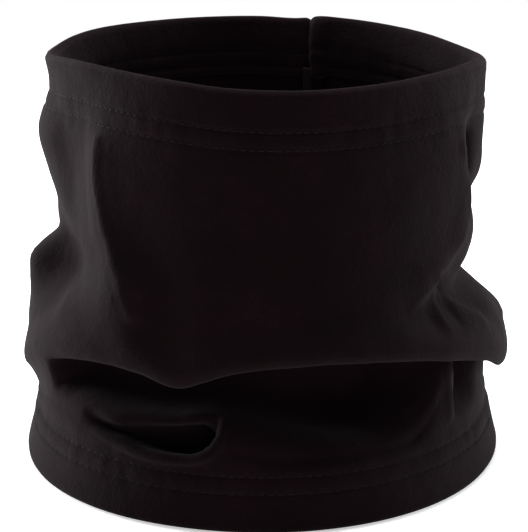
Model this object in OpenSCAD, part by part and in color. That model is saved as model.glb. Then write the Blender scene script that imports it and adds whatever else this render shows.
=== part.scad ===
// Fleece neck gaiter, slouched into one deep fold above its bottom hem.
// Origin: centre of the bottom hem, on the surface it stands on. +Z runs up the tube and
// the back seam lies at +Y. Millimetres.

/* [Tube] */
// Height of the gaiter as it stands, slouched
gaiter_h = 147; // [140:1:160]
// Outer width of the top opening
top_w = 158; // [150:1:166]
// Outer width of the bottom opening
bottom_w = 179; // [172:1:186]
// Outer width at the narrowest part of the upper section
waist_w = 154; // [148:1:156]
// Height of that narrowest part
waist_z = 88; // [80:1:100]

/* [Slouch fold] */
// Height at which the fold meets the upper section
fold_top_z = 60; // [58:1:66]
// Outer width of the lip that hangs over the fold
lip_w = 176; // [170:1:182]
// Height of the lip
lip_z = 53; // [51:1:56]
// Outer width at the bottom of the recess under the lip
recess_w = 146; // [142:1:152]
// Height of the deepest part of the recess
recess_z = 45; // [43:1:48]
// Outer width of the soft roll below the recess
roll_w = 173; // [168:1:178]
// Height of that roll
roll_z = 37; // [33:1:40]

/* [Cloth and hems] */
// Thickness of one layer of fleece
cloth_t = 2; // [1.5:0.1:2.2]
// Depth of the turned-in hem at each end
hem_depth = 21; // [20.5:0.5:23]
// Chamfer that stands for the soft folded edge
edge = 1; // [0.5:0.1:1.5]

/* [Stitching] */
// Distance from a hem's edge to its first row of stitches
row_inset = 13; // [11:0.5:13]
// Distance between the two rows
row_gap = 6; // [4:0.2:6.4]
// Width of a row of sewing thread
thread_w = 0.9; // [0.5:0.1:1.2]
// How deep a row sinks into the pile
thread_sink = 0.4; // [0.2:0.1:0.6]
// How far a row stands out of the pile
thread_proud = 0.2; // [0.1:0.1:0.3]

/* [Back seam] */
// Width of the overlocked allowance inside the back seam
seam_w = 6; // [5:0.5:8]
// Thickness of the allowance, two pressed layers of fleece
seam_t = 3; // [2.5:0.1:3.5]
// Thickness of the overlock thread on the allowance
overlock_t = 0.5; // [0.3:0.1:0.8]

/* [Hidden] */
$fn = 96;
hem_t = 2 * cloth_t;
top_hem_z = gaiter_h - hem_depth;
// Rows of stitches: heights at the top hem and at the bottom hem.
top_rows = [gaiter_h - row_inset, gaiter_h - row_inset - row_gap];
bottom_rows = [row_inset, row_inset + row_gap];
// The looper thread covers both rows on the inside, and this much past each.
looper_past = 0.8;
// Outer outlines of the cloth as [radius, height], from low to high.
fold_line = [[bottom_w / 2, hem_depth], [roll_w / 2, roll_z], [recess_w / 2, recess_z],
             [lip_w / 2, lip_z], [lip_w / 2 - cloth_t, fold_top_z]];
upper_line = [[lip_w / 2 - cloth_t, fold_top_z], [waist_w / 2, waist_z], [top_w / 2, top_hem_z]];
fleece = [0.06, 0.05, 0.055];
thread = [0.09, 0.08, 0.085];

// The same outline, moved towards the tube's axis and listed backwards.
function inward(line, by) = [for (i = [len(line) - 1 : -1 : 0]) [line[i][0] - by, line[i][1]]];

// A wall of revolution between the outline moved in by a and moved in by b.
module wall(line, a, b) {
    rotate_extrude() polygon(concat(inward(line, b), [for (p = line) [p[0] - a, p[1]]]));
}

// The same wall, cut to a strip of width w along the back seam.
module seam_strip(line, a, b, w) {
    turn = w / (top_w / 2) * 180 / PI;
    rotate([0, 0, 90 - turn / 2])
        rotate_extrude(angle = turn)
            polygon(concat(inward(line, b), [for (p = line) [p[0] - a, p[1]]]));
}

// A flat ring from radius r_in to r_out and from height low to high.
module ring(r_in, r_out, low, high) {
    translate([0, 0, low])
        difference() {
            cylinder(r = r_out, h = high - low);
            translate([0, 0, -1]) cylinder(r = r_in, h = high - low + 2);
        }
}

// A turned-in hem, two layers thick, with both edges of its fold chamfered.
// It stands on z = 0 and reaches up by hem_depth.
module hem(r) {
    rotate_extrude()
        polygon([[r - hem_t, edge], [r - hem_t + edge, 0], [r - edge, 0], [r, edge],
                 [r, hem_depth], [r - hem_t, hem_depth]]);
}

// One row of needle thread on the outside of a hem of radius r.
module needle_row(r, z) {
    ring(r - thread_sink, r + thread_proud, z - thread_w / 2, z + thread_w / 2);
}

// The groove that a row of needle thread pulls into the pile.
module needle_groove(r, z) {
    ring(r - thread_sink, r + 1, z - thread_w / 2, z + thread_w / 2);
}

// The looper thread that joins two rows on the inside of a hem, flush with the fleece.
module looper_band(r, rows) {
    ring(r - hem_t, r - hem_t + thread_sink, min(rows) - looper_past, max(rows) + looper_past);
}

module upper_tube() {
    color(fleece)
        difference() {
            union() {
                wall(upper_line, 0, cloth_t);
                translate([0, 0, gaiter_h]) mirror([0, 0, 1]) hem(top_w / 2);
            }
            for (z = top_rows) needle_groove(top_w / 2, z);
            looper_band(top_w / 2, top_rows);
        }
}

module slouch_fold() {
    color(fleece) wall(fold_line, 0, hem_t);
}

module bottom_band() {
    color(fleece)
        difference() {
            hem(bottom_w / 2);
            for (z = bottom_rows) needle_groove(bottom_w / 2, z);
            looper_band(bottom_w / 2, bottom_rows);
        }
}

module top_hem_needle_thread_a() {
    color(thread) needle_row(top_w / 2, top_rows[0]);
}

module top_hem_needle_thread_b() {
    color(thread) needle_row(top_w / 2, top_rows[1]);
}

module top_hem_looper_thread() {
    color(thread) looper_band(top_w / 2, top_rows);
}

module bottom_hem_needle_thread_a() {
    color(thread) needle_row(bottom_w / 2, bottom_rows[0]);
}

module bottom_hem_needle_thread_b() {
    color(thread) needle_row(bottom_w / 2, bottom_rows[1]);
}

module bottom_hem_looper_thread() {
    color(thread) looper_band(bottom_w / 2, bottom_rows);
}

module back_seam_upper() {
    color(fleece) seam_strip(upper_line, cloth_t, cloth_t + seam_t, seam_w);
}

module back_seam_fold() {
    color(fleece) seam_strip(fold_line, hem_t, hem_t + seam_t, seam_w);
}

module overlock_thread_upper() {
    color(thread)
        seam_strip(upper_line, cloth_t + seam_t, cloth_t + seam_t + overlock_t, seam_w);
}

module overlock_thread_fold() {
    color(thread) seam_strip(fold_line, hem_t + seam_t, hem_t + seam_t + overlock_t, seam_w);
}

upper_tube();
slouch_fold();
bottom_band();
top_hem_needle_thread_a();
top_hem_needle_thread_b();
top_hem_looper_thread();
bottom_hem_needle_thread_a();
bottom_hem_needle_thread_b();
bottom_hem_looper_thread();
back_seam_upper();
back_seam_fold();
overlock_thread_upper();
overlock_thread_fold();
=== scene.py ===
"""A black fleece neck gaiter, slouched into one deep fold above its bottom hem.

Lengths are in millimetres and turned into metres when a mesh is made. Angles are in degrees round
the tube, from the side that faces the camera, positive towards the camera's right. The cloth's
outline is built up column by column: each column is one angle, and each row is one step along the
cloth, from the bottom edge up the outside to the top edge.
"""

import math

import bpy
import numpy as np
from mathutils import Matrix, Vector, noise


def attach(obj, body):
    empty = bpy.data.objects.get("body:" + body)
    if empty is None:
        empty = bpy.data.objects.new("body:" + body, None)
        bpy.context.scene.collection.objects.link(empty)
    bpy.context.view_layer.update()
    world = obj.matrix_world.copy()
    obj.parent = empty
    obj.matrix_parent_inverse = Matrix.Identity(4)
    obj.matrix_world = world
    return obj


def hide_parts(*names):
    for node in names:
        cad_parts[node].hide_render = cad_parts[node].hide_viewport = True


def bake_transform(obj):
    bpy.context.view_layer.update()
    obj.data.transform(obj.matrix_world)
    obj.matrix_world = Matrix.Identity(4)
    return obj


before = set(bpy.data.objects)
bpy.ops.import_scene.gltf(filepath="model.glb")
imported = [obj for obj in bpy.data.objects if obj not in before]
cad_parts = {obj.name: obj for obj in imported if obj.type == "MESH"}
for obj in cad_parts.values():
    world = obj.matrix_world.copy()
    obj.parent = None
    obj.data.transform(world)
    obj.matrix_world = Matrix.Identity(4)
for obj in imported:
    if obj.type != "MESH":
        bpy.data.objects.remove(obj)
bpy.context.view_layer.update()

MM = 0.001

# ---------------------------------------------------------------- cloth and sewing
CLOTH_T = 1.9
HEM_DEPTH = 21.0
# The gap between a hem's two layers, and how much wider it is over the seam allowance.
LAYER_GAP = 0.15
HEM_SWELL = 2.6
# How far the top edge dips at the seam.
RIM_NOTCH = 0.35
FOLD_STEPS = 6
HEM_ROWS = 17
# The two rows of stitches, from the folded edge.
ROW_INSETS = (13.0, 19.0)
# The back seam lies on +Y, so the photo's camera stands turned away from -Y.
SEAM_ANGLE = 166.0
CAMERA_TURN = 180.0 - SEAM_ANGLE
ALLOWANCE_W = 6.2
ALLOWANCE_T = 3.2
STITCH_PITCH = 3.0
OVERLOCK_PITCH = 2.4
NEEDLE_THREAD_R = 0.28
LOOPER_THREAD_R = 0.18
OVERLOCK_THREAD_R = 0.24
HEM_MEAN_R = 80.0
LOOPER_MEAN_R = 76.0
WALL_MEAN_R = 79.0
# Lines on the cloth, such as creases, are measured on a tube of this radius, and its waves are
# noise read on another.
LINE_R = 82.0
NOISE_R = 80.0
# How far the seam allowance reaches under the cut edge of each hem.
TUCK = 1.5

# ---------------------------------------------------------------- shape of the cloth
# Each list goes round the tube as (angle, value). Radii are of the outer face.
RIM_Z = [(-150, 148.6), (-115, 148.4), (-97, 147.0), (-82, 148.0), (-64, 150.4), (-42, 151.0),
         (-24, 150.0), (-8, 148.4), (10, 147.8), (30, 148.2), (50, 149.0), (70, 148.6),
         (90, 146.2), (110, 145.8), (130, 147.0), (148, 148.0), (158, 148.6), (164, 148.8),
         (170, 147.8), (180, 148.4)]
FOOT_R = [(-82, 90.2), (-58, 91.8), (-38, 91.8), (-15, 90.8), (10, 90.6), (40, 90.4),
          (82, 89.0), (135, 89.2), (180, 90.0), (-135, 90.4)]
HEM_TOP_R = [(-82, 86.0), (-45, 87.6), (0, 87.2), (45, 86.2), (82, 84.0), (135, 85.6),
             (180, 87.0), (-135, 86.6)]

# The low roll under the fold.
ROLL_Z = [(-98, 30), (-82, 30.6), (-70, 33), (-60, 35.8), (-54, 35.4), (-47, 34.4), (-40, 33.4),
          (-33, 32.8), (-25, 33), (-16, 34.2), (-9, 34), (-4, 32.6), (1, 31), (7, 29.8),
          (13, 28.8), (20, 28), (30, 27.2), (36, 29), (40.5, 32.6), (44.5, 37.4), (48, 42.4),
          (53, 46), (60, 44), (68, 40), (76, 35.6), (84, 32.6), (100, 31), (130, 31), (180, 31.6),
          (-150, 31), (-120, 30.4)]
ROLL_R = [(-82, 85.0), (-60, 86.2), (-30, 86.6), (-10, 86), (5, 84.6), (35, 84.4), (50, 83.4),
          (60, 83.4), (82, 83), (110, 84), (150, 85), (180, 85.5), (-150, 85), (-110, 85)]

# The pocket in the roll at the front left: its lower edge, which curls up at the right end, how
# deep and how high it is, and how far outside that edge it starts to sink at its left end.
POCKET_EDGE = [(-46, 30.4), (-42, 28.6), (-38, 27), (-30, 25), (-25.5, 24.4), (-20.5, 24.5),
               (-16, 25.4), (-12.8, 28), (-11, 31.6), (-10.6, 35.6), (-11, 38)]
POCKET_DEPTH = [(-47, 0), (-41, 4), (-36, 7), (-28, 12), (-20, 14.5), (-8, 14.5)]
POCKET_HEIGHT = [(-47, 2.4), (-38, 4.2), (-30, 8.4), (-25, 10.4), (-20, 12), (-8, 11.4)]
POCKET_LEAD = [(-46, 4), (-41, 1.8), (-35, 0.3)]

# The pleat at the front right.
PLEAT_ANGLE = 52.6
PLEAT_DEPTH = 9.0
# Degrees of lean for each millimetre of height, and the height where the pleat is at its angle.
PLEAT_LEAN = 0.08
PLEAT_Z = 44.0

# The deep fold above the roll: how far in it goes, whether its floor rises inwards (1) or stays
# level (0), and its lip, which hangs over it.
RECESS_R = [(-118, 76), (-108, 82), (-98, 84), (-70, 84), (-60.5, 84), (-57.5, 80), (-54, 73),
            (-49, 68.6), (-40, 65), (-20, 60), (0, 58.4), (26, 58.4), (36, 61.4), (42, 69),
            (46, 75.4), (50, 79.5), (55, 80.6), (64, 82.4), (74, 82.9), (92, 82.9), (104, 80),
            (116, 74), (150, 68), (180, 67), (-150, 68), (-130, 71)]
FLOOR_RISE = [(-60, 0), (0, 0), (33, 0), (42, 0.4), (48, 0.9), (56, 1), (80, 1), (110, 0.6),
              (180, 0.3), (-120, 0.4)]
LIP_Z = [(-98, 30), (-82, 31.5), (-70, 39), (-61.5, 44), (-56, 47.2), (-48, 50.4), (-39, 52.2),
         (-28, 51.6), (-19, 48.4), (-13.6, 51), (-8, 54), (-1, 56), (8, 56.8), (18, 56.6),
         (33, 54.4), (47.5, 50), (58, 45.6), (65, 42), (73, 36.6), (81, 31.9), (92, 30.7),
         (105, 31.3), (125, 33), (160, 36), (180, 36), (-150, 34), (-120, 31)]
LIP_R = [(-98, 91), (-89, 89), (-82, 89.4), (-64, 88.8), (-40, 87.8), (-20, 87.2), (0, 86.4),
         (30, 86.4), (50, 88.2), (66, 89.8), (82, 90.4), (100, 89.6), (130, 87.5), (180, 86.5),
         (-150, 87.5), (-120, 88.4)]

# Rings round the upper section, from low to high: height, then (angle, radius).
RINGS = [
    (51, [(-150, 87), (-120, 88), (-98, 90), (-89, 87.8), (-82, 88.6), (-54, 88.2), (-20, 87),
          (0, 86), (30, 86), (50, 88.6), (66, 90), (82, 90.4), (96, 90), (115, 87), (150, 84.5),
          (180, 85)]),
    (60, [(-150, 83), (-115, 86), (-82, 87), (-67, 86.2), (-54, 88), (-45, 88.2), (-37, 88),
          (-28, 86), (-15, 85.4), (0, 84.8), (30, 83.8), (42, 84), (52, 85.6), (64, 85.6),
          (74, 84.6), (82, 82.4), (96, 79.5), (115, 78.5), (150, 81), (180, 82)]),
    (68, [(-150, 79), (-115, 83), (-90, 85.4), (-80, 86.6), (-73, 81.4), (-65, 79),
          (-55, 83), (-45, 86.4), (-30, 88.4), (-23.4, 85), (-15, 84), (15, 82.8),
          (33, 81.8), (45, 79.8), (57, 77.6), (68, 74), (80, 72), (92, 72), (115, 74.5),
          (150, 79.5), (180, 80)]),
    (76, [(-150, 78), (-115, 79), (-98, 79.6), (-88, 83.6), (-80, 85), (-73, 76.8),
          (-66, 72.8), (-60, 73.8), (-52, 79), (-45, 83.4), (-30.4, 88), (-24, 83.6),
          (-15, 82.6), (15, 81.6), (35, 81.8), (44, 81.4), (50, 77.6), (58, 75.8), (70, 75.6),
          (82, 75.6), (96, 76), (115, 78), (150, 79.5), (180, 79)]),
    (83, [(-150, 78.5), (-115, 77.4), (-98, 74.6), (-88, 75.8), (-80, 76), (-74, 72.8),
          (-67, 71.6), (-60, 73.4), (-52, 77.6), (-45, 81.6), (-32.6, 86.8), (-26, 82.6),
          (-15, 81.6), (15, 80.8), (35, 81.4), (50, 81.8), (56, 79), (62, 77.2), (72, 76.8),
          (82, 77.2), (96, 77.6), (115, 79.5), (150, 78.8), (180, 78.5)]),
    (89, [(-150, 79.5), (-115, 76), (-98, 76.6), (-88, 76), (-80, 74.8), (-70, 73.6),
          (-60, 75), (-52, 78), (-45, 80.8), (-36.6, 84.8), (-29, 81.8), (-15, 80.8),
          (15, 80.4), (35, 81), (50, 81.4), (57.5, 81.6), (63, 78.6), (72, 77.2), (82, 76.8),
          (115, 79), (150, 78.2), (180, 78.5)]),
    (97, [(-150, 80), (-115, 77), (-82, 76), (-70, 75.8), (-60, 75.4), (-50, 78.6), (-40.5, 83),
          (-33, 81), (-15, 80.2), (15, 80), (37, 80.6), (52, 81), (61, 81.4), (66, 78),
          (74, 75.4), (82, 74.8), (96, 75.4), (115, 78), (150, 78), (180, 78.6)]),
    (106, [(-150, 80), (-115, 78.4), (-82, 78.4), (-72, 76.8), (-62, 74.6), (-52, 77.4), (-42, 82),
           (-35, 80.4), (-15, 79.8), (15, 79.6), (38, 80.4), (54, 81), (61, 81.2), (66, 78),
           (74, 77.6), (82, 78.8), (96, 78.2), (115, 77.5), (150, 78.5), (180, 79)]),
    (120, [(-150, 79.5), (-115, 80.5), (-82, 81.5), (-74, 79.2), (-66, 75.4), (-55, 75.2),
           (-44.3, 80.6), (-37, 79.4), (-15, 79.2), (15, 79.2), (38, 79.8), (54, 80.8),
           (58.5, 80.6), (63, 76.6), (69, 77.8), (76, 79.4), (82, 79.8), (115, 77), (150, 78.5),
           (180, 79.4)]),
    (135, [(-150, 79.6), (-115, 79), (-82, 77.4), (-68, 75.6), (-55, 74.8), (-44, 76.8), (-24, 78),
           (0, 79), (30, 79), (55, 79.8), (60, 79.4), (66, 78.8), (82, 79.8), (115, 77.8),
           (150, 78.8), (180, 79.6)]),
    (149, [(-150, 81), (-115, 80), (-82, 79), (-64, 76), (-42, 75.2), (-24, 77.4), (0, 79),
           (30, 78), (50, 77), (70, 78.4), (82, 79.8), (110, 79), (130, 79.6), (150, 80.8),
           (180, 81)]),
]

# Soft ridges (+) and valleys (-) on the upper section:
# the line as (angle, height) points, half width, and how far it stands out.
CREASES = [
    # left: the long ridge and the knee below it
    ([(-45, 127), (-43.6, 113), (-40.5, 101), (-36.2, 89), (-32, 81), (-29.6, 72)], 1.5, 1.0),
    ([(-32, 79), (-39, 75), (-48, 72), (-55, 68)], 5.0, 0.8),
    # right: the edge of the front, the dent beside it, and the creases that spread below it
    ([(57, 123), (60, 116), (62, 103), (61.4, 96), (57.6, 89), (50, 81.4), (43, 75.4),
      (39, 72.4)], 1.8, 0.6),
    ([(65.6, 121.5), (66.6, 113)], 3.7, -4.8),
    ([(46.6, 79), (47.2, 72), (48.2, 61)], 1.4, 0.9),
    ([(51, 70), (56, 65.4), (63.5, 58.6)], 1.6, 0.9),
    ([(51, 77), (52, 70), (53.6, 62)], 2.2, -0.7),
    ([(43.4, 73), (44.4, 62)], 2.4, -0.3),
    # the valley between the two lobes of the left side, and the low swell over the lip's point
    ([(-89.5, 56), (-88.5, 44), (-87, 35)], 2.2, -1.4),
    ([(-30, 61), (-22, 58), (-12, 63)], 6.0, 0.7),
]


# ---------------------------------------------------------------- curves
def hermite(xs, ys, x):
    """A smooth curve through the points (xs, ys), read at x. ys may have a row of values, one for
    each column of the tube, in place of each number."""
    xs = np.asarray(xs, float)
    ys = np.asarray(ys, float)
    slopes = np.gradient(ys, xs, axis=0)
    k = np.clip(np.searchsorted(xs, x) - 1, 0, len(xs) - 2)
    step = xs[k + 1] - xs[k]
    t = (x - xs[k]) / step
    if ys.ndim == 1:
        y0, y1, m0, m1 = ys[k], ys[k + 1], slopes[k], slopes[k + 1]
    else:
        column = np.arange(ys.shape[1])
        y0, y1 = ys[k, column], ys[k + 1, column]
        m0, m1 = slopes[k, column], slopes[k + 1, column]
    h1 = t * t * (3 - 2 * t)
    h2 = t * (1 - t) * (1 - t)
    h3 = t * t * (t - 1)
    return y0 * (1 - h1) + y1 * h1 + step * (m0 * h2 + m1 * h3)


def around(keys, angle):
    """A smooth closed curve through (angle, value) keys, read at angle."""
    keys = sorted(keys)
    xs = [a for a, _ in keys]
    ys = [v for _, v in keys]
    xs = [a - 360 for a in xs[-3:]] + xs + [a + 360 for a in xs[:3]]
    ys = ys[-3:] + ys + ys[:3]
    return hermite(xs, ys, np.asarray(angle, float))


def ramp(x, low, high):
    """0 below low, 1 above high, and smooth between."""
    t = np.clip((x - low) / (high - low), 0, 1)
    return t * t * (3 - 2 * t)


def open_curve(keys, x):
    """A smooth curve through keys that don't close round the tube; it holds its end values."""
    xs = [a for a, _ in keys]
    ys = [v for _, v in keys]
    return hermite(xs, ys, np.clip(x, xs[0], xs[-1]))


def smooth_path(stations, rows_in_span):
    """A smooth path through the stations of every column (a centripetal Catmull-Rom spline).
    stations is (station, 2, column); the result has one row for each step up the cloth."""
    chord = np.linalg.norm(np.diff(stations, axis=0), axis=1) ** 0.5
    rate = np.diff(stations, axis=0) / chord[:, None]
    before, after = chord[:-1, None], chord[1:, None]
    inner = (before * rate[1:] + after * rate[:-1]) / (before + after)
    slopes = np.concatenate([rate[:1], inner, rate[-1:]])
    rows = []
    for k, count in enumerate(rows_in_span):
        for t in np.arange(count) / count:
            h = t * t * (3 - 2 * t)
            bend = slopes[k] * t * (1 - t) * (1 - t) - slopes[k + 1] * t * t * (1 - t)
            rows.append(stations[k] * (1 - h) + stations[k + 1] * h + chord[k] * bend)
    rows.append(stations[-1])
    return np.array(rows)


def soften(rows, passes):
    """Evens out the steps up the cloth and leaves its two ends where they are."""
    for _ in range(passes):
        rows = np.concatenate([rows[:1], (rows[:-2] + 2 * rows[1:-1] + rows[2:]) / 4, rows[-1:]])
    return rows


# ---------------------------------------------------------------- the columns
# Stretches of the tube as (from, to, spacing): close beside the back seam, at the pocket's end and
# at the pleat, and closer in front than behind.
COLUMN_STEPS = [(159, 173, 0.4), (173, 260, 1.45), (260, 338, 1.0), (338, 354, 0.55),
                (354, 412, 1.1), (412, 424, 0.7), (424, 460, 1.1), (460, 519, 1.45)]


def column_angles():
    """Angles of the columns, once round the tube."""
    return np.concatenate([np.linspace(a, b, round((b - a) / step), endpoint=False)
                           for a, b, step in COLUMN_STEPS])


ANGLES = column_angles()
TURNED = (ANGLES + 180) % 360 - 180
N = len(ANGLES)
SEAM_SIDE = (SEAM_ANGLE - ANGLES + 180) % 360 - 180
ALLOWANCE_DEG = math.degrees(ALLOWANCE_W / WALL_MEAN_R)
# 1 where a hem's two layers lie over the seam allowance, and 0 elsewhere.
OVER_ALLOWANCE = (ramp(SEAM_SIDE, -0.2, 2.2)
                  * (1 - ramp(SEAM_SIDE, ALLOWANCE_DEG - 0.4, ALLOWANCE_DEG + 2.0)))
# From the middle of one layer to the middle of the other, and from the wall's first and last
# rows to the hem's outermost point.
HEM_GAP = CLOTH_T + LAYER_GAP + HEM_SWELL * OVER_ALLOWANCE
EDGE_Z = HEM_GAP / 2 + CLOTH_T / 2


# ---------------------------------------------------------------- the middle surface of the cloth
def wall_radius(z):
    """Outer radius of the upper section at height z, one value for each column."""
    levels = [level for level, _ in RINGS]
    radii = np.array([around(keys, TURNED) for _, keys in RINGS])
    return hermite(levels, radii, np.clip(z, levels[0], levels[-1]))


# Rows between each two stations, below and above the lip, and the rows where the low roll's top,
# the lip and the upper section begin.
LOW_SPANS = [15, 11, 8, 6, 6, 6, 5, 5, 5, 4, 3, 4, 4, 4, 4, 4, 3, 4, 5]
WALL_SPANS = [6] * 7 + [8] + [14] * 2
ROLL_ROW = sum(LOW_SPANS[:6])
LIP_ROW = sum(LOW_SPANS[:16])
WALL_ROW = sum(LOW_SPANS)
# The fold is open where its recess lies inside the first radius, and shut beyond the second.
SHUT_FROM, SHUT_TO = 79.5, 83.5


def low_stations():
    """Stations of the outer face from the bottom edge up to the lip: the bottom band, the low
    roll, the deep fold and its lip. Where the fold is shut, its stations lie on a straight line."""
    foot, hem_top = around(FOOT_R, TURNED), around(HEM_TOP_R, TURNED)
    roll_r, roll_z = around(ROLL_R, TURNED), around(ROLL_Z, TURNED)
    recess = around(RECESS_R, TURNED)
    lip_r, lip_z = around(LIP_R, TURNED), around(LIP_Z, TURNED)
    rounder = ramp(TURNED, 62, 80) * (1 - ramp(TURNED, 120, 150))
    top_z = np.maximum(lip_z + 3.2, roll_z + 8)
    low_z = np.maximum(roll_z - 6.5, HEM_DEPTH + 2.4)
    flat = 0 * foot
    band = [
        (foot, EDGE_Z),
        (0.62 * foot + 0.38 * hem_top, flat + 9),
        (0.3 * foot + 0.7 * hem_top, flat + 15.5),
        (hem_top, flat + HEM_DEPTH),
        (0.67 * hem_top + 0.33 * roll_r + 0.3, 0.67 * HEM_DEPTH + 0.33 * low_z),
        (0.33 * hem_top + 0.67 * roll_r + 0.4, 0.33 * HEM_DEPTH + 0.67 * low_z),
        (roll_r + 0.1, low_z),
    ]
    rise, height = around(FLOOR_RISE, TURNED), top_z - roll_z
    level, climb = 1 - rise, rise * height
    depth, overhang = roll_r - recess, lip_r - recess
    crest = np.clip(depth / 14, 0, 1)
    fold = [
        (roll_r - 0.9 * crest, 0.46 * low_z + 0.54 * roll_z),
        (roll_r - 3.0 * crest, roll_z - 0.4),
        (roll_r - 6.5 * crest, roll_z + 1.6 * level + 0.2 * climb),
        (roll_r - 11 * crest, roll_z + 2.8 * level + 0.4 * climb),
        (recess + 0.08 * depth, roll_z + 3.2 * level + 0.6 * climb),
        (recess, roll_z + (1.2 + 0.6 * height) * level + 0.8 * climb),
        (recess + 0.12 * overhang, top_z - 0.2),
        (recess + 0.5 * overhang, 0.6 * top_z + 0.4 * lip_z + 0.5),
        (lip_r - 1.0 - rounder - 0.2 * overhang, lip_z + 1.4),
        (lip_r - 0.8 - rounder, lip_z - 0.1),
    ]
    lip = [
        (lip_r + 0.8 - 0.5 * rounder, lip_z + 1.9),
        (lip_r + 1.3, lip_z + 6.5),
    ]
    shut = ramp(recess, SHUT_FROM, SHUT_TO) * (1 - ramp(TURNED, -57, -50))
    (low_r, low_z), (high_r, high_z) = band[-1], lip[0]
    for k, (r, z) in enumerate(fold):
        part = (k + 1) / (len(fold) + 1)
        dip = 4 * part * (1 - part)
        fold[k] = (r * (1 - shut) + shut * (low_r * (1 - part) + high_r * part - 0.8 * dip),
                   z * (1 - shut) + shut * (low_z * (1 - part) + high_z * part))
    return band + fold + lip


def outline_stations():
    """Stations of the outer face from the bottom edge to the top, as (radius, height) for each
    column."""
    stations = low_stations()
    rim_z = around(RIM_Z, TURNED) - EDGE_Z - RIM_NOTCH * np.exp(-(SEAM_SIDE / 1.0) ** 2)
    low_z = around(LIP_Z, TURNED) + 15
    for k in range(len(WALL_SPANS) + 1):
        z = low_z + (rim_z - low_z) * k / len(WALL_SPANS)
        stations.append((wall_radius(z), z))
    return np.array(stations)


def nearest_on_line(angle, z, line):
    """Distance on the cloth from each point to a line of (angle, height) points, and whether the
    point lies to the left of the line as it runs (1) or to the right (-1)."""
    points = [(math.radians(a) * LINE_R, h) for a, h in line]
    x, z = np.broadcast_arrays(np.radians(angle) * LINE_R, z)
    best, side = np.full(z.shape, 1e9), np.ones(z.shape)
    for (ax, az), (bx, bz) in zip(points, points[1:]):
        length2 = (bx - ax) ** 2 + (bz - az) ** 2
        t = np.clip(((x - ax) * (bx - ax) + (z - az) * (bz - az)) / length2, 0, 1)
        away = np.hypot(x - ax - t * (bx - ax), z - az - t * (bz - az))
        turn = (bx - ax) * (z - az) - (bz - az) * (x - ax)
        nearer = away < best
        best, side = np.where(nearer, away, best), np.where(nearer, np.sign(turn), side)
    return best, side


def rounded_line(line, steps=6):
    """A line of (angle, height) points with a smooth curve through them."""
    points = np.array(line, float)
    places = np.arange(len(points), dtype=float)
    fine = np.linspace(0, places[-1], steps * (len(points) - 1) + 1)
    return list(zip(hermite(places, points[:, 0], fine), hermite(places, points[:, 1], fine)))


def pocket_shape(angle, z):
    """The pocket in the low roll: how far each point lies in, how far down it is sunk there
    behind the pocket's lower edge, and how far the rim outside that edge stands out."""
    away, side = nearest_on_line(angle, z, rounded_line(POCKET_EDGE))
    inside = away * side
    top = 1 - ramp(z + 0.25 * (angle + 10), 34, 41)
    depth = open_curve(POCKET_DEPTH, angle) * (angle < 0) * top
    height = open_curve(POCKET_HEIGHT, angle)
    lead = open_curve(POCKET_LEAD, angle)
    hollow = depth * ramp(inside, -lead, 1.1) * (1 - ramp(inside, 0.1 * height, 1.4 * height))
    sunk = hollow * 0.5 * (1 - ramp(inside, 0.15 * height, 0.75 * height))
    rim = 0.09 * depth * np.exp(-((inside + 1.4) / 1.7) ** 2)
    return np.array([hollow, sunk, rim])


def pleat_shape(angle, z):
    """The dark pocket beside the pleat at the front right, crisp on its left side only."""
    across = np.radians(angle - PLEAT_ANGLE + PLEAT_LEAN * (PLEAT_Z - z)) * LINE_R
    hollow = PLEAT_DEPTH * ramp(across, -0.2, 1.8) * (1 - ramp(across, 6, 21)) * ramp(z, 25, 38)
    ridge = 0.9 * np.exp(-((across + 1.4) / 1.8) ** 2) * ramp(z, 24, 30)
    return hollow - ridge


def crease_relief(angle, z):
    """How far the named creases stand out of the upper section."""
    relief = np.zeros(np.broadcast(angle, z).shape)
    for line, half_width, height in CREASES:
        away, _ = nearest_on_line(angle, z, line)
        relief += height * np.exp(-(away / half_width) ** 2)
    return relief


def uneven(angle, z, size, stretch=1.0):
    """Smooth noise on the tube, with bumps of about size millimetres, and taller by stretch."""
    turn = np.radians(angle)
    x, y = NOISE_R * np.sin(turn) / size, NOISE_R * np.cos(turn) / size
    high = z / size / stretch + size
    out = np.zeros(z.shape)
    for row in range(z.shape[0]):
        for column in range(z.shape[1]):
            out[row, column] = noise.noise(Vector((x[column], y[column], high[row, column])))
    return out


def outward(r, z):
    """Unit normals in the (radius, height) plane, pointing out of the tube."""
    dr, dz = np.gradient(r, axis=0), np.gradient(z, axis=0)
    length = np.hypot(dr, dz)
    return dz / length, -dr / length


def seam_relief():
    """Each face of the cloth that shows dips at the back seam, where its two edges turn in."""
    return -0.9 * np.exp(-(SEAM_SIDE / 0.7) ** 2) - 0.3 * np.exp(-(SEAM_SIDE / 2.2) ** 2)


def middle_surface():
    """Radius and height of the cloth's middle, one row for each step up the cloth."""
    path = soften(smooth_path(outline_stations(), LOW_SPANS + WALL_SPANS), 3)
    r, z = path[:, 0], path[:, 1]
    row = np.arange(len(r))[:, None]
    on_wall = ramp(row, WALL_ROW, WALL_ROW + 6)
    r = r * (1 - on_wall) + wall_radius(z) * on_wall
    relief = ramp(row, LIP_ROW - 2, LIP_ROW + 8) * crease_relief(TURNED, z)
    waves = 0.4 * uneven(ANGLES, z, 34) + 0.28 * uneven(ANGLES, z, 15)
    waves = waves + 0.12 * uneven(ANGLES, z, 6.5)
    relief = relief + waves * ramp(z, 3, 12)
    nr, nz = outward(r, z)
    offset = relief - CLOTH_T / 2
    on_roll = 1 - ramp(row, ROLL_ROW + 8, ROLL_ROW + 18)
    hollow, sunk, rim = pocket_shape(TURNED, z) * on_roll
    pleat = pleat_shape(TURNED, z) * (1 - ramp(row, LIP_ROW - 12, LIP_ROW - 3))
    return r + offset * nr + rim - hollow - pleat, z + offset * nz - sunk


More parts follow.
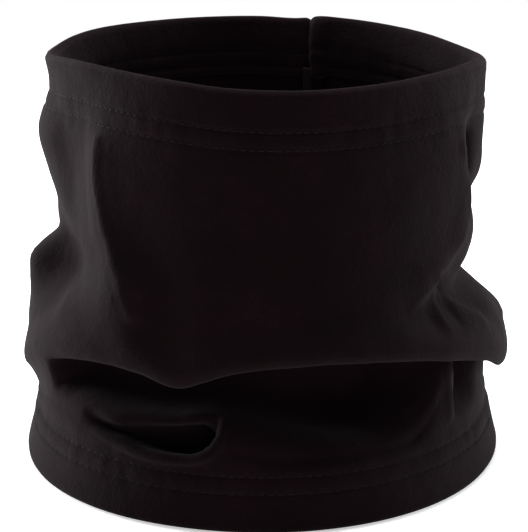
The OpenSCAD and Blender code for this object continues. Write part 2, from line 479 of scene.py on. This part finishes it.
def to_xyz(r, z):
    turn = np.radians(ANGLES + CAMERA_TURN)
    return np.stack([r * np.sin(turn), -r * np.cos(turn), z], axis=-1)


def path_length(points):
    steps = np.linalg.norm(np.diff(points, axis=0), axis=-1)
    return np.concatenate([np.zeros((1, points.shape[1])), np.cumsum(steps, axis=0)])


def unit(v):
    return v / np.linalg.norm(v, axis=-1, keepdims=True)


def grid_normals(points):
    """Unit normals of a grid that closes round its columns, pointing out of the tube."""
    up = np.gradient(points, axis=0)
    sideways = np.roll(points, -1, axis=1) - np.roll(points, 1, axis=1)
    return unit(np.cross(sideways, up))


def read_column(values, lengths, at):
    """Values of a grid at a path length in each column. at is one number, or one per column."""
    at = np.broadcast_to(np.asarray(at, float), lengths.shape[1:])
    k = np.clip((lengths < at).sum(axis=0) - 1, 0, len(lengths) - 2)
    column = np.arange(lengths.shape[1])
    t = (at - lengths[k, column]) / (lengths[k + 1, column] - lengths[k, column])
    return values[k, column] * (1 - t)[:, None] + values[k + 1, column] * t[:, None]


def turned_in(wall, normals, lengths, edge, into_wall, spread):
    """The rows of a hem's inner layer, from its folded edge to its cut edge. edge is the wall's
    path length there, into_wall is 1 or -1, and spread is how far the cut edge stands off."""
    points = []
    for depth in np.linspace(0.0, HEM_DEPTH, HEM_ROWS):
        at = edge + into_wall * depth
        base, side = read_column(wall, lengths, at), unit(read_column(normals, lengths, at))
        gap = HEM_GAP + spread * depth / HEM_DEPTH + seam_relief()
        points.append(base - gap[:, None] * side)
    return np.array(points)


def fold_rows(edge, inner, direction):
    """The half circle of cloth between the wall's edge and the inner layer's edge."""
    centre = (edge + inner) / 2
    arm = edge - centre
    radius = np.linalg.norm(arm, axis=-1, keepdims=True)
    turns = math.pi * np.arange(1, FOLD_STEPS) / FOLD_STEPS
    return np.array([centre + arm * math.cos(a) + direction * radius * math.sin(a) for a in turns])


def whole_sheet():
    """The middle of the whole sheet, from one cut edge to the other: the bottom hem's inner
    layer, its folded edge, the wall, the top folded edge, and the top hem's inner layer."""
    wall = to_xyz(*middle_surface())
    normals = grid_normals(wall)
    lengths = path_length(wall)
    seam = seam_relief()[:, None]
    low = turned_in(wall, normals, lengths, 0 * lengths[-1], 1, 0.2)
    high = turned_in(wall, normals, lengths, lengths[-1], -1, 0.3)
    wall = wall + seam * normals
    low_fold = fold_rows(wall[0], low[0], unit(wall[0] - wall[1]))
    high_fold = fold_rows(wall[-1], high[0], unit(wall[-1] - wall[-2]))
    sheet = np.concatenate([low[::-1], low_fold[::-1], wall, high_fold, high])
    first = len(low) + len(low_fold)
    return sheet, first, first + len(wall)


SHEET, WALL_FROM, WALL_TO = whole_sheet()
# The bottom fold rests on the floor.
SHEET[:, :, 2] -= SHEET[:, :, 2].min() - CLOTH_T / 2
NORMALS = grid_normals(SHEET)
LENGTHS = path_length(SHEET)
BOTTOM_EDGE = (LENGTHS[WALL_FROM] + LENGTHS[WALL_FROM - FOLD_STEPS]) / 2
TOP_EDGE = (LENGTHS[WALL_TO - 1] + LENGTHS[WALL_TO - 1 + FOLD_STEPS]) / 2


def stitch_relief():
    """How the two rows of stitches in each hem shape both layers: a groove under each row, a
    slight ridge between the rows, and small puckers across them."""
    pucker = uneven(ANGLES, SHEET[:, :, 2], 4.5, 2.5)
    middle = sum(ROW_INSETS) / 2
    relief = np.zeros(LENGTHS.shape)
    for edge in (BOTTOM_EDGE, TOP_EDGE):
        depth = np.abs(LENGTHS - edge)
        for inset in ROW_INSETS:
            relief -= 0.45 * np.exp(-((depth - inset) / 0.7) ** 2)
        relief += 0.12 * np.exp(-((depth - middle) / 1.6) ** 2)
        relief += 0.35 * pucker * np.exp(-((depth - middle) / 6.0) ** 2)
    return relief


OUTER = SHEET + NORMALS * (CLOTH_T / 2 + stitch_relief())[:, :, None]
INNER = SHEET - NORMALS * (CLOTH_T / 2)


# ---------------------------------------------------------------- meshes
def make_mesh(name, points, faces, material):
    """A mesh from points in millimetres. It remembers where each point rests, for its textures."""
    mesh = bpy.data.meshes.new(name)
    mesh.from_pydata([tuple(p) for p in np.asarray(points) * MM], [], [tuple(f) for f in faces])
    rest = mesh.attributes.new("rest_place", "FLOAT_VECTOR", "POINT")
    rest.data.foreach_set("vector", (np.asarray(points) * MM).astype(np.float32).ravel())
    mesh.materials.append(material)
    mesh.polygons.foreach_set("use_smooth", [True] * len(mesh.polygons))
    mesh.update()
    piece = bpy.data.objects.new(name, mesh)
    bpy.context.scene.collection.objects.link(piece)
    return piece


def grid_faces(rows, columns, start=0, flip=False):
    """Quads of a grid that closes round its columns."""
    row, column = np.meshgrid(np.arange(rows - 1), np.arange(columns), indexing="ij")
    after = (column + 1) % columns
    a, b = start + row * columns + column, start + row * columns + after
    c, d = b + columns, a + columns
    order = (a, d, c, b) if flip else (a, b, c, d)
    return np.stack(order, axis=-1).reshape(-1, 4)


def make_fleece(material):
    """One sheet of fleece with two faces, joined at its two cut edges inside the hems."""
    rows = len(SHEET)
    bulge = 0.35
    low_cut = SHEET[0] + (SHEET[0] - SHEET[1]) * bulge
    high_cut = SHEET[-1] + (SHEET[-1] - SHEET[-2]) * bulge
    points = np.concatenate([OUTER.reshape(-1, 3), INNER.reshape(-1, 3), low_cut, high_cut])
    inner = rows * N
    low, high = 2 * inner, 2 * inner + N
    faces = [grid_faces(rows, N), grid_faces(rows, N, inner, flip=True)]
    column = np.arange(N)
    after = (column + 1) % N
    last = (rows - 1) * N
    for a, b in ((low, 0), (inner, low), (last, high), (high, inner + last)):
        faces.append(np.stack([a + column, a + after, b + after, b + column], -1))
    return make_mesh("fleece_tube", points, np.concatenate(faces), material)


def tube(points, normals, radii, sides=6):
    """Points and faces of a closed tube along points. normals say where its first side faces."""
    points = np.asarray(points, float)
    along = np.gradient(points, axis=0)
    along /= np.linalg.norm(along, axis=-1, keepdims=True)
    side = np.cross(along, normals)
    side /= np.linalg.norm(side, axis=-1, keepdims=True)
    top = np.cross(side, along)
    angles = 2 * math.pi * np.arange(sides) / sides
    cos, sin = np.cos(angles)[None, :, None], np.sin(angles)[None, :, None]
    rings = points[:, None] + radii[:, None, None] * (cos * top[:, None] + sin * side[:, None])
    faces = grid_faces(len(points), sides)
    caps = [list(range(sides))[::-1], [len(points) * sides - sides + k for k in range(sides)]]
    return rings.reshape(-1, 3), faces, caps


def join_tubes(name, tubes, material):
    points, faces, start = [], [], 0
    for ring_points, quads, caps in tubes:
        points.append(ring_points)
        faces += [tuple(int(k) + start for k in f) for f in quads]
        faces += [tuple(int(k) + start for k in f) for f in caps]
        start += len(ring_points)
    return make_mesh(name, np.concatenate(points), faces, material)


def read_round(values, angle):
    """One row of values, one for each column, read at an angle."""
    turn = (angle - ANGLES[0]) % 360
    places = np.append(ANGLES - ANGLES[0], 360.0)
    k = int(np.clip(np.searchsorted(places, turn, side="right") - 1, 0, N - 1))
    t = (turn - places[k]) / (places[k + 1] - places[k])
    return values[k] * (1 - t) + values[(k + 1) % N] * t


def make_needle_row(name, edge, towards, inset, material):
    """One row of needle stitches on the outside of a hem: short lengths of thread that dive into
    the pile at both ends. towards is +1 where the wall lies after the edge in the sheet."""
    at = edge + towards * inset
    face = read_column(OUTER, LENGTHS, at)
    side = unit(read_column(NORMALS, LENGTHS, at))
    count = int(round(2 * math.pi * HEM_MEAN_R / STITCH_PITCH))
    thread_r = NEEDLE_THREAD_R
    # The part of the pitch that one stitch shows, between the two needle holes.
    shape = np.linspace(0.06, 0.94, 8)
    tubes = []
    for k in range(count):
        angles = ANGLES[0] + 360 * (k + shape) / count
        base = np.array([read_round(face, a) for a in angles])
        up = unit(np.array([read_round(side, a) for a in angles]))
        arch = np.sin(math.pi * (shape - 0.06) / 0.88)
        lift = thread_r * (0.85 * arch ** 0.5 - 1.0)
        radii = thread_r * (0.45 + 0.55 * arch ** 0.6)
        tubes.append(tube(base + up * lift[:, None], up, radii))
    return join_tubes(name, tubes, material)


def make_looper(name, edge, towards, material):
    """The looper thread on the inside of a hem, which crosses between the two rows of stitches.
    towards is +1 where the hem's inner layer lies after the edge in the sheet."""
    count = int(round(2 * math.pi * LOOPER_MEAN_R / STITCH_PITCH))
    inner_at = {}
    for inset in np.linspace(ROW_INSETS[0] - 0.6, ROW_INSETS[1] + 0.6, 9):
        at = edge + towards * inset
        inner_at[inset] = (read_column(OUTER, LENGTHS, at),
                           unit(read_column(NORMALS, LENGTHS, at)))
    insets = np.array(sorted(inner_at))
    thread_r = LOOPER_THREAD_R
    strands = []
    for strand in (0.0, 0.5):
        points, ups = [], []
        steps = 8
        for k in range(count * steps):
            phase = k / steps
            wave = 0.5 - 0.5 * math.cos(2 * math.pi * (phase + strand))
            inset = insets[0] + (insets[-1] - insets[0]) * wave
            j = int(np.clip(np.searchsorted(insets, inset) - 1, 0, len(insets) - 2))
            t = (inset - insets[j]) / (insets[j + 1] - insets[j])
            loop = 0.22 * math.sin(4 * math.pi * (phase + strand))
            angle = ANGLES[0] + 360 * (phase + loop) / count
            low_face, low_up = inner_at[insets[j]]
            high_face, high_up = inner_at[insets[j + 1]]
            base = read_round(low_face, angle) * (1 - t) + read_round(high_face, angle) * t
            up = unit(read_round(low_up, angle) * (1 - t) + read_round(high_up, angle) * t)
            points.append(base + up * thread_r * (0.35 * math.sin(math.pi * wave) - 0.35))
            ups.append(up)
        points.append(points[0])
        ups.append(ups[0])
        strands.append(tube(points, np.array(ups), np.full(len(points), thread_r), sides=5))
    return join_tubes(name, strands, material)


def seam_rows():
    """Rows of the wall that the back seam's allowance runs up, from just under the cut edge of
    one hem to just under that of the other."""
    return [j for j in range(WALL_FROM, WALL_TO)
            if BOTTOM_EDGE[0] + HEM_DEPTH - TUCK < LENGTHS[j, 0] < TOP_EDGE[0] - HEM_DEPTH + TUCK]


def seam_place(j, across, height):
    """A point beside the seam on the inside of row j: across in the direction that the allowance
    is turned, height above the cloth's inner face."""
    radius = math.hypot(INNER[j, 0, 0], INNER[j, 0, 1])
    angle = SEAM_ANGLE - math.degrees(across / radius)
    base = read_round(INNER[j], angle)
    side = unit(read_round(NORMALS[j], angle))
    return base - side * height, -side


def make_allowance(material):
    """The two cut edges of the panel, turned to one side inside the back seam."""
    half = ALLOWANCE_T / 2
    w = ALLOWANCE_W
    # Across and height of the outline's corners, round both edges and the slit between them.
    section = [(-0.9, -0.5), (-0.9, half), (-0.4, ALLOWANCE_T - 0.4), (0.6, ALLOWANCE_T),
               (w * 0.5, ALLOWANCE_T + 0.1), (w - 0.7, ALLOWANCE_T), (w - 0.1, ALLOWANCE_T - 0.5),
               (w, half + 0.5), (w - 0.5, half), (w, half - 0.5), (w - 0.1, 0.5),
               (w - 0.6, -0.2), (w * 0.5, -0.5)]
    rows = seam_rows()
    points = []
    for j in rows:
        wobble = 0.25 * noise.noise(Vector((LENGTHS[j, 0] / 5.0, 3.0, 7.0)))
        for across, height in section:
            points.append(seam_place(j, across + wobble * ramp(across, 1.0, w), height)[0])
    count = len(section)
    faces = [tuple(f) for f in grid_faces(len(rows), count)]
    faces.append(tuple(range(count))[::-1])
    faces.append(tuple(len(rows) * count - count + k for k in range(count)))
    return make_mesh("back_seam_allowance", points, faces, material)


def make_overlock(material):
    """The overlock thread, which crosses the allowance and wraps round its cut edge, over and
    over, and the chain that runs up beside the seam."""
    rows = seam_rows()
    start, end = LENGTHS[rows[0], 0], LENGTHS[rows[-1], 0]
    count = int((end - start) / OVERLOCK_PITCH)
    thread_r = OVERLOCK_THREAD_R
    lift = ALLOWANCE_T + 0.15
    w = ALLOWANCE_W
    # One stitch, as (how far along it, across, height).
    stitch = [(0.00, 0.2, lift - 0.1), (0.18, w * 0.35, lift + 0.12), (0.34, w * 0.7, lift + 0.1),
              (0.46, w + 0.05, lift - 0.35), (0.55, w + 0.25, ALLOWANCE_T / 2),
              (0.62, w + 0.05, lift - 0.35), (0.74, w * 0.7, lift + 0.1),
              (0.88, w * 0.35, lift + 0.12)]
    points, ups = [], []
    for k in range(count):
        for part, across, height in stitch:
            length = start + (k + part) * OVERLOCK_PITCH
            j = int(np.clip(np.searchsorted(LENGTHS[rows, 0], length) - 1, 0, len(rows) - 2))
            t = (length - LENGTHS[rows[j], 0]) / (LENGTHS[rows[j + 1], 0] - LENGTHS[rows[j], 0])
            low, low_up = seam_place(rows[j], across, height)
            high, high_up = seam_place(rows[j + 1], across, height)
            points.append(low * (1 - t) + high * t)
            ups.append(unit(low_up * (1 - t) + high_up * t))
    chain_points, chain_ups = [], []
    for j in rows[::2]:
        place, up = seam_place(j, 0.5, lift - 0.05)
        chain_points.append(place)
        chain_ups.append(up)
    chain_r = thread_r * 1.1
    tubes = [tube(points, np.array(ups), np.full(len(points), thread_r), sides=5),
             tube(chain_points, np.array(chain_ups), np.full(len(chain_points), chain_r), sides=5)]
    return join_tubes("back_seam_overlock_thread", tubes, material)


# ---------------------------------------------------------------- materials
# How deep the pile's relief is, in metres.
PILE_DEPTH = 0.0003


def new_material(name, color, roughness, sheen, sheen_roughness, specular):
    material = bpy.data.materials.new(name)
    material.use_nodes = True
    shader = material.node_tree.nodes["Principled BSDF"]
    shader.inputs["Base Color"].default_value = (*color, 1)
    shader.inputs["Roughness"].default_value = roughness
    shader.inputs["Sheen Weight"].default_value = sheen
    shader.inputs["Sheen Roughness"].default_value = sheen_roughness
    shader.inputs["Specular IOR Level"].default_value = specular
    return material


def rest_place(nodes):
    """Reads where each point rests, so that the texture stays on the cloth in every pose."""
    place = nodes.new("ShaderNodeAttribute")
    place.attribute_name = "rest_place"
    return place


def add_noise(nodes, links, place, scale, detail, roughness=0.6):
    texture = nodes.new("ShaderNodeTexNoise")
    texture.inputs["Scale"].default_value = scale
    texture.inputs["Detail"].default_value = detail
    texture.inputs["Roughness"].default_value = roughness
    links.new(place.outputs["Vector"], texture.inputs["Vector"])
    return texture


def fleece_material(name, dark, light):
    """Brushed black fleece: a short uneven pile, slightly lighter where it stands up."""
    material = new_material(name, dark, roughness=0.95, sheen=0.32, sheen_roughness=0.6,
                            specular=0.03)
    nodes, links = material.node_tree.nodes, material.node_tree.links
    shader = nodes["Principled BSDF"]
    shader.inputs["Sheen Tint"].default_value = (0.06, 0.053, 0.056, 1)
    place = rest_place(nodes)
    pile = add_noise(nodes, links, place, 900.0, 3.0, 0.65)
    tufts = add_noise(nodes, links, place, 260.0, 3.0)
    patches = add_noise(nodes, links, place, 45.0, 2.0)
    mix = nodes.new("ShaderNodeMath")
    mix.operation = "MULTIPLY"
    links.new(pile.outputs["Fac"], mix.inputs[0])
    links.new(patches.outputs["Fac"], mix.inputs[1])
    ramp_node = nodes.new("ShaderNodeValToRGB")
    ramp_node.color_ramp.elements[0].position = 0.12
    ramp_node.color_ramp.elements[0].color = (*dark, 1)
    ramp_node.color_ramp.elements[1].position = 0.45
    ramp_node.color_ramp.elements[1].color = (*light, 1)
    links.new(mix.outputs[0], ramp_node.inputs["Fac"])
    links.new(ramp_node.outputs["Color"], shader.inputs["Base Color"])
    coarse = nodes.new("ShaderNodeBump")
    coarse.inputs["Distance"].default_value = PILE_DEPTH * 2.2
    coarse.inputs["Strength"].default_value = 0.5
    links.new(tufts.outputs["Fac"], coarse.inputs["Height"])
    fine = nodes.new("ShaderNodeBump")
    fine.inputs["Distance"].default_value = PILE_DEPTH
    fine.inputs["Strength"].default_value = 0.8
    links.new(pile.outputs["Fac"], fine.inputs["Height"])
    links.new(coarse.outputs["Normal"], fine.inputs["Normal"])
    links.new(fine.outputs["Normal"], shader.inputs["Normal"])
    return material


def thread_material(name, color, roughness):
    """Black sewing thread: fine fibres, and smoother than the fleece."""
    material = new_material(name, color, roughness, sheen=0.0, sheen_roughness=0.4,
                            specular=0.02)
    nodes, links = material.node_tree.nodes, material.node_tree.links
    shader = nodes["Principled BSDF"]
    place = rest_place(nodes)
    fibres = add_noise(nodes, links, place, 3500.0, 2.0)
    ramp_node = nodes.new("ShaderNodeValToRGB")
    ramp_node.color_ramp.elements[0].color = (*(0.6 * c for c in color), 1)
    ramp_node.color_ramp.elements[1].color = (*(1.5 * c for c in color), 1)
    links.new(fibres.outputs["Fac"], ramp_node.inputs["Fac"])
    links.new(ramp_node.outputs["Color"], shader.inputs["Base Color"])
    bump = nodes.new("ShaderNodeBump")
    bump.inputs["Distance"].default_value = 0.00008
    bump.inputs["Strength"].default_value = 0.6
    links.new(fibres.outputs["Fac"], bump.inputs["Height"])
    links.new(bump.outputs["Normal"], shader.inputs["Normal"])
    return material


# ---------------------------------------------------------------- stage, lights, camera
# In metres, apart from the lens. The camera stands where the photo's two openings put it.
CAMERA_DISTANCE = 0.600
CAMERA_HEIGHT = 0.249
CAMERA_TARGET = (0, 0, 0.067)
LIGHT_TARGET = (0, 0, 0.07)
LENS = 113.0
FLOOR_HALF = 0.8


def make_floor():
    mesh = bpy.data.meshes.new("floor")
    half = FLOOR_HALF
    corners = [(-half, -half, 0), (half, -half, 0), (half, half, 0), (-half, half, 0)]
    mesh.from_pydata(corners, [], [(0, 1, 2, 3)])
    floor = bpy.data.objects.new("floor", mesh)
    bpy.context.scene.collection.objects.link(floor)
    material = new_material("pale_floor", (0.86, 0.86, 0.87), roughness=0.7, sheen=0.0,
                            sheen_roughness=0.3, specular=0.2)
    shader = material.node_tree.nodes["Principled BSDF"]
    shader.inputs["Emission Color"].default_value = (1, 1, 1, 1)
    shader.inputs["Emission Strength"].default_value = 0.45
    mesh.materials.append(material)


def aim(thing, target):
    direction = Vector(target) - thing.location
    thing.rotation_euler = direction.to_track_quat("-Z", "Y").to_euler()


def turned_place(angle, distance, height):
    turn = math.radians(angle + CAMERA_TURN)
    return (distance * math.sin(turn), -distance * math.cos(turn), height)


def make_softbox(name, angle, distance, height, size, power):
    light = bpy.data.lights.new(name, "AREA")
    light.shape = "RECTANGLE"
    light.size, light.size_y = size
    light.energy = power
    lamp = bpy.data.objects.new(name, light)
    bpy.context.scene.collection.objects.link(lamp)
    lamp.location = turned_place(angle, distance, height)
    aim(lamp, LIGHT_TARGET)


def make_camera():
    data = bpy.data.cameras.new("camera")
    data.lens = LENS
    data.clip_end = 20
    camera = bpy.data.objects.new("camera", data)
    bpy.context.scene.collection.objects.link(camera)
    camera.location = turned_place(0, CAMERA_DISTANCE, CAMERA_HEIGHT)
    aim(camera, CAMERA_TARGET)
    bpy.context.scene.camera = camera


def make_world():
    world = bpy.data.worlds.new("studio")
    world.use_nodes = True
    nodes, links = world.node_tree.nodes, world.node_tree.links
    background = nodes["Background"]
    background.inputs["Strength"].default_value = 1.0
    place = nodes.new("ShaderNodeTexCoord")
    parts = nodes.new("ShaderNodeSeparateXYZ")
    links.new(place.outputs["Generated"], parts.inputs["Vector"])
    sky = nodes.new("ShaderNodeValToRGB")
    sky.color_ramp.elements[0].position = 0.12
    sky.color_ramp.elements[0].color = (1, 1, 1, 1)
    sky.color_ramp.elements[1].position = 0.8
    sky.color_ramp.elements[1].color = (0.3, 0.3, 0.3, 1)
    links.new(parts.outputs["Z"], sky.inputs["Fac"])
    links.new(sky.outputs["Color"], background.inputs["Color"])
    bpy.context.scene.world = world
    bpy.context.scene.view_settings.view_transform = "Standard"


# ---------------------------------------------------------------- putting it together
make_camera()
make_world()
make_floor()
make_softbox("left_softbox", -115, 1.1, 0.22, (0.5, 0.42), 26.5)
make_softbox("right_softbox", 112, 1.2, 0.22, (0.5, 0.42), 10)
make_softbox("top_softbox", 180, 0.15, 1.25, (0.5, 0.5), 28)

FLEECE = fleece_material("black_fleece", (0.0014, 0.0002, 0.0004), (0.0042, 0.0013, 0.0020))
RAW_EDGE = fleece_material("fleece_cut_edge", (0.0016, 0.0005, 0.0007), (0.0050, 0.0026, 0.0033))
NEEDLE = thread_material("needle_thread", (0.0070, 0.0058, 0.0062), 0.6)
LOOPER = thread_material("looper_thread", (0.0036, 0.0028, 0.0031), 0.75)

fleece = make_fleece(FLEECE)
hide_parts("upper_tube", "slouch_fold", "bottom_band")
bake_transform(fleece)

allowance = make_allowance(RAW_EDGE)
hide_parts("back_seam_upper", "back_seam_fold")
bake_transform(allowance)

overlock = make_overlock(LOOPER)
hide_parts("overlock_thread_upper", "overlock_thread_fold")
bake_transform(overlock)

for hem_name, hem_body, hem_edge, hem_side in (
        ("top", "upper", TOP_EDGE, 1), ("bottom", "lower", BOTTOM_EDGE, -1)):
    for letter, row_inset in zip("ab", ROW_INSETS):
        stitches = make_needle_row(f"{hem_name}_hem_stitches_{letter}", hem_edge, -hem_side,
                                   row_inset, NEEDLE)
        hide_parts(f"{hem_name}_hem_needle_thread_{letter}")
        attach(stitches, hem_body)
    looper = make_looper(f"{hem_name}_hem_looper", hem_edge, hem_side, LOOPER)
    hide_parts(f"{hem_name}_hem_looper_thread")
    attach(looper, hem_body)
